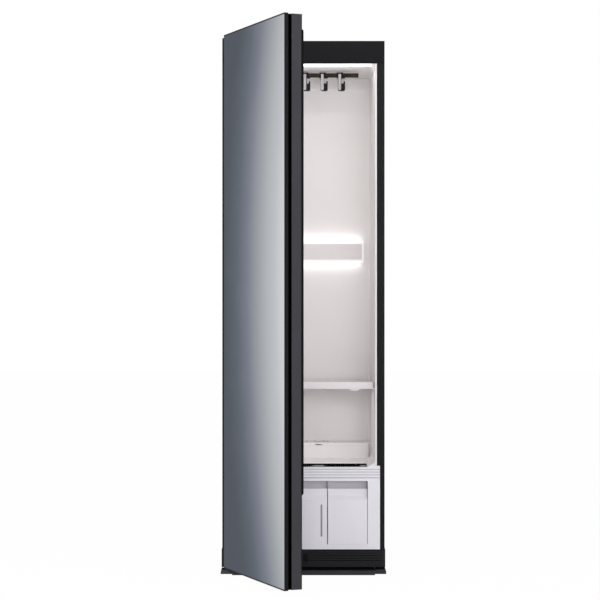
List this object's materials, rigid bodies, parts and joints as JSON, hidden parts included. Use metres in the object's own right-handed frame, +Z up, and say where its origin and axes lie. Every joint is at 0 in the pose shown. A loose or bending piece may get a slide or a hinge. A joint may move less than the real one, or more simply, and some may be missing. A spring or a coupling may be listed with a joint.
{
  "type": "clothes care steam cabinet",
  "caption": "Tall floor-standing cabinet with a left-hinged mirror door, a moving hanger rail, a shelf and slide-out water tanks for steaming clothes.",
  "frame": {"origin": "on the floor, below the middle of the cabinet's front plane", "axes": "+X to the right seen from the front, +Y into the cabinet from its front plane, +Z up"},
  "size_m": [0.6046, 1.1223, 1.966],
  "materials": {
    "black_steel": "satin",
    "galvanised_steel": "matte",
    "black_plastic": "satin",
    "dark_grey_plastic": "satin",
    "white_liner": "satin",
    "white_plastic": "satin",
    "grey_plastic": "matte",
    "grey_plate": "satin",
    "milky_diffuser": "satin",
    "foam": "matte",
    "aluminium_fins": "satin",
    "cast_aluminium": "matte",
    "bare_steel": "satin",
    "dark_aluminium": "satin",
    "tinted_mirror": "polished",
    "gasket_rubber": "matte",
    "clear_window": "gloss",
    "foot_rubber": "matte"
  },
  "bodies": {
    "cabinet": {"side_panel_left": "black_steel", "side_panel_right": "black_steel", "top_panel": "black_steel", "back_panel": "galvanised_steel", "header_panel": "black_plastic", "wall_insulation": "foam", "liner_left": "white_liner", "liner_right": "white_liner", "liner_back": "white_liner", "liner_ceiling": "white_liner", "light_diffusers": "milky_diffuser", "back_light_plate": "grey_plate", "compartment_floor": "white_liner", "duct_cover": "white_liner", "sill_grille": "white_plastic", "bay_surround": "white_plastic", "bay_tray": "grey_plastic", "service_cover": "white_plastic", "kick_grille": "black_plastic", "plinth_covers": "black_plastic", "base_tray": "black_plastic", "duct_pan": "grey_plastic", "heat_exchangers": "aluminium_fins", "blower_housing": "grey_plastic", "fan_motor": "bare_steel", "compressor": "black_steel", "steam_generator": "cast_aluminium", "water_pump": "grey_plastic", "control_box": "grey_plastic", "power_inlet": "black_plastic", "hanger_motor": "bare_steel", "hanger_guide": "bare_steel", "door_hinges": "black_steel", "top_hinge_cover": "black_plastic"},
    "door": {"door_mirror": "tinted_mirror", "door_front_frame": "black_plastic", "door_body": "dark_grey_plastic", "door_foam": "foam", "door_grip_channel": "black_plastic", "door_liner": "white_liner", "door_gasket": "gasket_rubber", "hinge_bushes": "white_plastic"},
    "hanger": {"hanger_rail": "dark_aluminium", "hanger_carriage": "grey_plastic", "hanger_hooks": "dark_grey_plastic", "hook_faces": "grey_plate"},
    "hanger_crank": {"hanger_crank": "bare_steel"},
    "shelf": {"shelf": "white_plastic"},
    "supply_tank": {"supply_tank": "white_plastic", "supply_tank_lid": "white_plastic", "level_window": "clear_window"},
    "supply_cap": {"supply_cap": "white_plastic"},
    "drain_tank": {"drain_tank": "white_plastic", "drain_tank_lid": "white_plastic"},
    "drain_cap": {"drain_cap": "white_plastic"},
    "lint_filter": {"lint_filter": "grey_plastic"},
    "blower_fan": {"blower_fan": "grey_plastic"},
    "drain_plug": {"drain_plug": "black_plastic"},
    "levelling_foot_left": {"levelling_foot_left": "foot_rubber"},
    "levelling_foot_right": {"levelling_foot_right": "foot_rubber"}
  },
  "joints": [
    {"name": "door_hinge", "type": "hinge", "parent": "cabinet", "child": "door", "pos_m": [-0.2679, -0.0605, 1], "axis": [0, 0, -1], "range_deg": [-67.75, 47]},
    {"name": "hanger_slide", "type": "slide", "parent": "cabinet", "child": "hanger", "axis": [1, 0, 0], "range_m": [-0.01147, 0.01147]},
    {"name": "crank_turn", "type": "hinge", "parent": "cabinet", "child": "hanger_crank", "pos_m": [-0.019, 0.24, 1.905], "axis": [0, 0, 1], "range_deg": [-35, 35]},
    {"name": "shelf_lift", "type": "slide", "parent": "cabinet", "child": "shelf", "axis": [0, 0, 1], "range_m": [0, 0.03]},
    {"name": "supply_tank_slide", "type": "slide", "parent": "cabinet", "child": "supply_tank", "axis": [0, -1, 0], "range_m": [0, 0.22]},
    {"name": "supply_cap_turn", "type": "hinge", "parent": "supply_tank", "child": "supply_cap", "pos_m": [0, 0.15, 0.325], "axis": [0, 0, 1], "continuous": true},
    {"name": "drain_tank_slide", "type": "slide", "parent": "cabinet", "child": "drain_tank", "axis": [0, -1, 0], "range_m": [0, 0.22]},
    {"name": "drain_cap_turn", "type": "hinge", "parent": "drain_tank", "child": "drain_cap", "pos_m": [0.1619, 0.15, 0.325], "axis": [0, 0, 1], "continuous": true},
    {"name": "lint_filter_lift", "type": "slide", "parent": "cabinet", "child": "lint_filter", "axis": [0, 0, 1], "range_m": [0, 0.06]},
    {"name": "fan_spin", "type": "hinge", "parent": "cabinet", "child": "blower_fan", "pos_m": [-0.12, 0.388, 0.3], "axis": [0, 0, 1], "continuous": true},
    {"name": "drain_plug_turn", "type": "hinge", "parent": "cabinet", "child": "drain_plug", "pos_m": [0.009, 0, 0.057], "axis": [0, 1, 0], "range_deg": [0, 90]},
    {"name": "left_foot_turn", "type": "hinge", "parent": "cabinet", "child": "levelling_foot_left", "pos_m": [-0.2675, 0.045, 0.02], "axis": [0, 0, 1], "continuous": true},
    {"name": "right_foot_turn", "type": "hinge", "parent": "cabinet", "child": "levelling_foot_right", "pos_m": [0.2675, 0.045, 0.02], "axis": [0, 0, 1], "continuous": true}
  ],
  "couplings": [
    {"joint": "crank_turn", "follows": "hanger_slide", "rad_per_m": -53.258}
  ]
}
